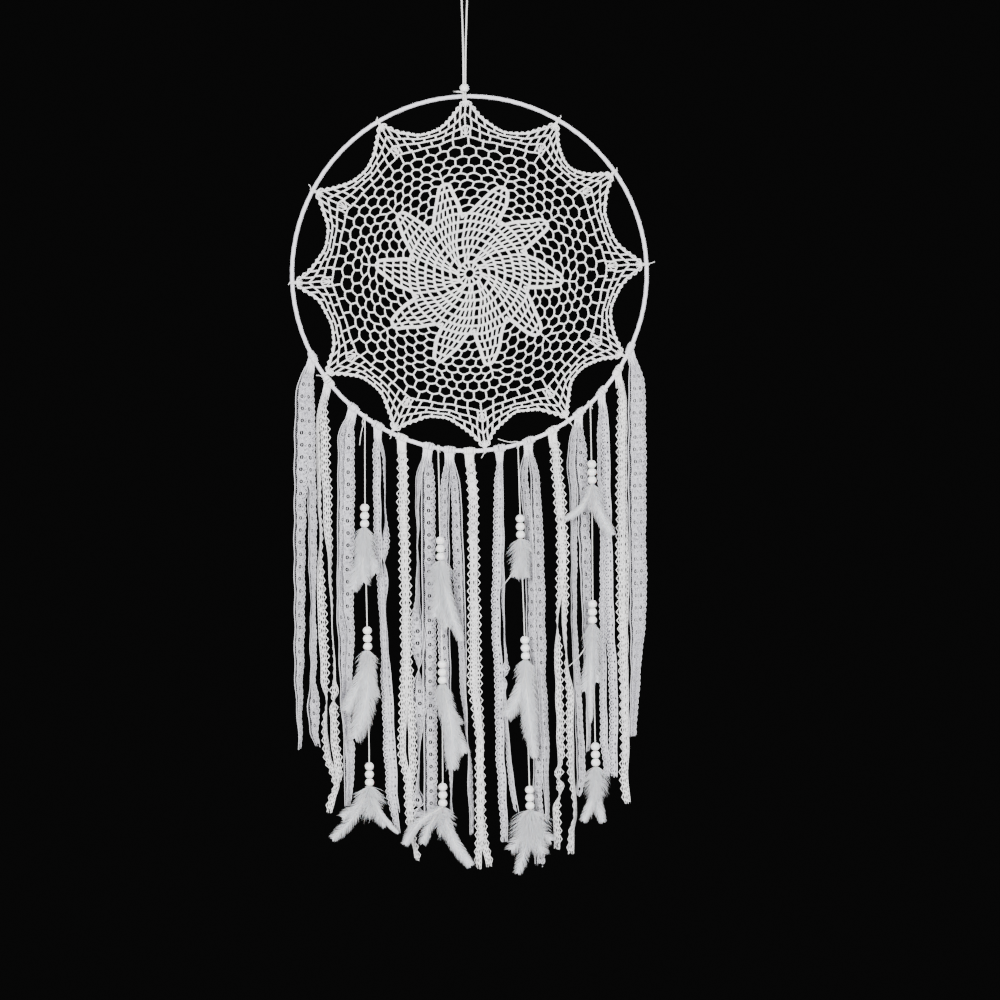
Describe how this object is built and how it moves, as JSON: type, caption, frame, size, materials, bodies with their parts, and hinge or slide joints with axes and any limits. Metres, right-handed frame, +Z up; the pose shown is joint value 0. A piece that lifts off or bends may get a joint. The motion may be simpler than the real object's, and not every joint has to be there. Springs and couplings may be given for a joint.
{
  "type": "dream catcher",
  "caption": "Wall-hung dream catcher: a ribbon-wrapped hoop with a crocheted doily laced inside, hung with lace strips and strings of beads and feathers.",
  "frame": {"origin": "where the hook touches the inside top of the hanging loop", "axes": "+Z up, +X to the right seen from the front, the front faces -Y"},
  "size_m": [0.402, 0.0143, 1.0513],
  "materials": {
    "steel_wire": "drawn steel wire, hidden under the ribbon",
    "satin_ribbon": "white satin ribbon wound at a slant, soft sheen",
    "crochet_cotton": "twisted cotton crochet yarn, matt",
    "cotton_cord": "thin waxed cotton cord",
    "thread": "white sewing thread",
    "bead_plastic": "glossy white plastic",
    "tulle_lace": "machine lace on sheer tulle, slightly grey where one layer is seen through",
    "cotton_lace": "cotton crochet lace with a zigzag edge",
    "feather": "soft white down and vane"
  },
  "bodies": {
    "cord": {"hanger_cord": "cotton_cord"},
    "bead": {"hanger_bead": "bead_plastic"},
    "hitch": {"hanger_hitch": "cotton_cord"},
    "hoop": {"hoop_ring": "steel_wire", "hoop_wrap": "satin_ribbon", "crochet_doily": "crochet_cotton", "doily_ties": "thread", "lace_knots": "tulle_lace", "string_ties": "thread"},
    "lace_strip_01": {"lace_strip_01": "tulle_lace"},
    "lace_strip_02": {"lace_strip_02": "cotton_lace"},
    "lace_strip_03": {"lace_strip_03": "tulle_lace"},
    "lace_strip_04": {"lace_strip_04": "tulle_lace"},
    "lace_strip_05": {"lace_strip_05": "cotton_lace"},
    "lace_strip_06": {"lace_strip_06": "tulle_lace"},
    "lace_strip_07": {"lace_strip_07": "tulle_lace"},
    "lace_strip_08": {"lace_strip_08": "cotton_lace"},
    "lace_strip_09": {"lace_strip_09": "tulle_lace"},
    "lace_strip_10": {"lace_strip_10": "tulle_lace"},
    "lace_strip_11": {"lace_strip_11": "cotton_lace"},
    "lace_strip_12": {"lace_strip_12": "tulle_lace"},
    "lace_strip_13": {"lace_strip_13": "tulle_lace"},
    "lace_strip_14": {"lace_strip_14": "cotton_lace"},
    "lace_strip_15": {"lace_strip_15": "tulle_lace"},
    "string_1_top": {"string_1_top_thread": "thread", "string_1_top_beads": "bead_plastic", "string_1_top_feathers": "feather"},
    "string_1_middle": {"string_1_middle_thread": "thread", "string_1_middle_beads": "bead_plastic", "string_1_middle_feathers": "feather"},
    "string_1_low": {"string_1_low_thread": "thread", "string_1_low_beads": "bead_plastic", "string_1_low_feathers": "feather"},
    "string_2_top": {"string_2_top_thread": "thread", "string_2_top_beads": "bead_plastic", "string_2_top_feathers": "feather"},
    "string_2_middle": {"string_2_middle_thread": "thread", "string_2_middle_beads": "bead_plastic", "string_2_middle_feathers": "feather"},
    "string_2_low": {"string_2_low_thread": "thread", "string_2_low_beads": "bead_plastic", "string_2_low_feathers": "feather"},
    "string_3_top": {"string_3_top_thread": "thread", "string_3_top_beads": "bead_plastic", "string_3_top_feathers": "feather"},
    "string_3_middle": {"string_3_middle_thread": "thread", "string_3_middle_beads": "bead_plastic", "string_3_middle_feathers": "feather"},
    "string_3_low": {"string_3_low_thread": "thread", "string_3_low_beads": "bead_plastic", "string_3_low_feathers": "feather"},
    "string_4_top": {"string_4_top_thread": "thread", "string_4_top_beads": "bead_plastic", "string_4_top_feathers": "feather"},
    "string_4_middle": {"string_4_middle_thread": "thread", "string_4_middle_beads": "bead_plastic", "string_4_middle_feathers": "feather"},
    "string_4_low": {"string_4_low_thread": "thread", "string_4_low_beads": "bead_plastic", "string_4_low_feathers": "feather"}
  },
  "joints": [
    {"name": "cord_twist", "type": "hinge", "parent": "cord", "child": "hitch", "pos_m": [0, 0, -0.18258], "axis": [0, 0, 1], "range_deg": [-180, 180]},
    {"name": "bead_slide", "type": "slide", "parent": "cord", "child": "bead", "axis": [0, 0, 1], "range_m": [0, 0.02]},
    {"name": "hoop_tilt", "type": "hinge", "parent": "hitch", "child": "hoop", "pos_m": [0, 0, -0.18258], "axis": [1, 0, 0], "range_deg": [-30, 30]},
    {"name": "lace_strip_01_swing", "type": "hinge", "parent": "hoop", "child": "lace_strip_01", "pos_m": [-0.1769, 0.0021, -0.48622], "axis": [1, 0, 0], "range_deg": [-30, 30]},
    {"name": "lace_strip_02_swing", "type": "hinge", "parent": "hoop", "child": "lace_strip_02", "pos_m": [-0.15765, 0.0021, -0.514], "axis": [1, 0, 0], "range_deg": [0, 30]},
    {"name": "lace_strip_03_swing", "type": "hinge", "parent": "hoop", "child": "lace_strip_03", "pos_m": [-0.13115, 0.0021, -0.54301], "axis": [1, 0, 0], "range_deg": [0, 30]},
    {"name": "lace_strip_04_swing", "type": "hinge", "parent": "hoop", "child": "lace_strip_04", "pos_m": [-0.0964, 0.0021, -0.56279], "axis": [1, 0, 0], "range_deg": [0, 30]},
    {"name": "lace_strip_05_swing", "type": "hinge", "parent": "hoop", "child": "lace_strip_05", "pos_m": [-0.0694, 0.0021, -0.5761], "axis": [1, 0, 0], "range_deg": [0, 30]},
    {"name": "lace_strip_06_swing", "type": "hinge", "parent": "hoop", "child": "lace_strip_06", "pos_m": [-0.04465, 0.0021, -0.5857], "axis": [1, 0, 0], "range_deg": [0, 30]},
    {"name": "lace_strip_07_swing", "type": "hinge", "parent": "hoop", "child": "lace_strip_07", "pos_m": [-0.01615, 0.0021, -0.58977], "axis": [1, 0, 0], "range_deg": [0, 30]},
    {"name": "lace_strip_08_swing", "type": "hinge", "parent": "hoop", "child": "lace_strip_08", "pos_m": [0.00685, 0.0021, -0.591], "axis": [1, 0, 0], "range_deg": [-30, 30]},
    {"name": "lace_strip_09_swing", "type": "hinge", "parent": "hoop", "child": "lace_strip_09", "pos_m": [0.0401, 0.0021, -0.58812], "axis": [1, 0, 0], "range_deg": [0, 30]},
    {"name": "lace_strip_10_swing", "type": "hinge", "parent": "hoop", "child": "lace_strip_10", "pos_m": [0.07135, 0.0021, -0.57967], "axis": [1, 0, 0], "range_deg": [0, 30]},
    {"name": "lace_strip_11_swing", "type": "hinge", "parent": "hoop", "child": "lace_strip_11", "pos_m": [0.1016, 0.0021, -0.56804], "axis": [1, 0, 0], "range_deg": [0, 30]},
    {"name": "lace_strip_12_swing", "type": "hinge", "parent": "hoop", "child": "lace_strip_12", "pos_m": [0.12685, 0.0021, -0.54849], "axis": [1, 0, 0], "range_deg": [0, 30]},
    {"name": "lace_strip_13_swing", "type": "hinge", "parent": "hoop", "child": "lace_strip_13", "pos_m": [0.1546, 0.0021, -0.52514], "axis": [1, 0, 0], "range_deg": [0, 30]},
    {"name": "lace_strip_14_swing", "type": "hinge", "parent": "hoop", "child": "lace_strip_14", "pos_m": [0.1766, 0.0021, -0.50193], "axis": [1, 0, 0], "range_deg": [-30, 30]},
    {"name": "lace_strip_15_swing", "type": "hinge", "parent": "hoop", "child": "lace_strip_15", "pos_m": [0.1916, 0.0021, -0.47697], "axis": [1, 0, 0], "range_deg": [-30, 30]},
    {"name": "string_1_top_swing", "type": "hinge", "parent": "hoop", "child": "string_1_top", "pos_m": [-0.11049, -0.0043, -0.54278], "axis": [1, 0, 0], "range_deg": [-30, 0]},
    {"name": "string_1_middle_swing", "type": "hinge", "parent": "string_1_top", "child": "string_1_middle", "pos_m": [-0.10887, -0.0043, -0.7375], "axis": [1, 0, 0], "range_deg": [-25, 0]},
    {"name": "string_1_low_swing", "type": "hinge", "parent": "string_1_middle", "child": "string_1_low", "pos_m": [-0.10598, -0.0043, -0.902], "axis": [1, 0, 0], "range_deg": [-25, 0]},
    {"name": "string_2_top_swing", "type": "hinge", "parent": "hoop", "child": "string_2_top", "pos_m": [-0.02903, -0.0043, -0.57744], "axis": [1, 0, 0], "range_deg": [-30, 0]},
    {"name": "string_2_middle_swing", "type": "hinge", "parent": "string_2_top", "child": "string_2_middle", "pos_m": [-0.02492, -0.0043, -0.797], "axis": [1, 0, 0], "range_deg": [-25, 0]},
    {"name": "string_2_low_swing", "type": "hinge", "parent": "string_2_middle", "child": "string_2_low", "pos_m": [-0.02402, -0.0043, -0.9375], "axis": [1, 0, 0], "range_deg": [-25, 0]},
    {"name": "string_3_top_swing", "type": "hinge", "parent": "hoop", "child": "string_3_top", "pos_m": [0.05971, -0.0043, -0.57294], "axis": [1, 0, 0], "range_deg": [-30, 0]},
    {"name": "string_3_middle_swing", "type": "hinge", "parent": "string_3_top", "child": "string_3_middle", "pos_m": [0.06476, -0.0043, -0.7235], "axis": [1, 0, 0], "range_deg": [-25, 0]},
    {"name": "string_3_low_swing", "type": "hinge", "parent": "string_3_middle", "child": "string_3_low", "pos_m": [0.07191, -0.0043, -0.9325], "axis": [1, 0, 0], "range_deg": [-25, 0]},
    {"name": "string_4_top_swing", "type": "hinge", "parent": "hoop", "child": "string_4_top", "pos_m": [0.14004, -0.0043, -0.52768], "axis": [1, 0, 0], "range_deg": [-30, 0]},
    {"name": "string_4_middle_swing", "type": "hinge", "parent": "string_4_top", "child": "string_4_middle", "pos_m": [0.14231, -0.0043, -0.676], "axis": [1, 0, 0], "range_deg": [-25, 0]},
    {"name": "string_4_low_swing", "type": "hinge", "parent": "string_4_middle", "child": "string_4_low", "pos_m": [0.14529, -0.0043, -0.8875], "axis": [1, 0, 0], "range_deg": [-25, 0]}
  ]
}
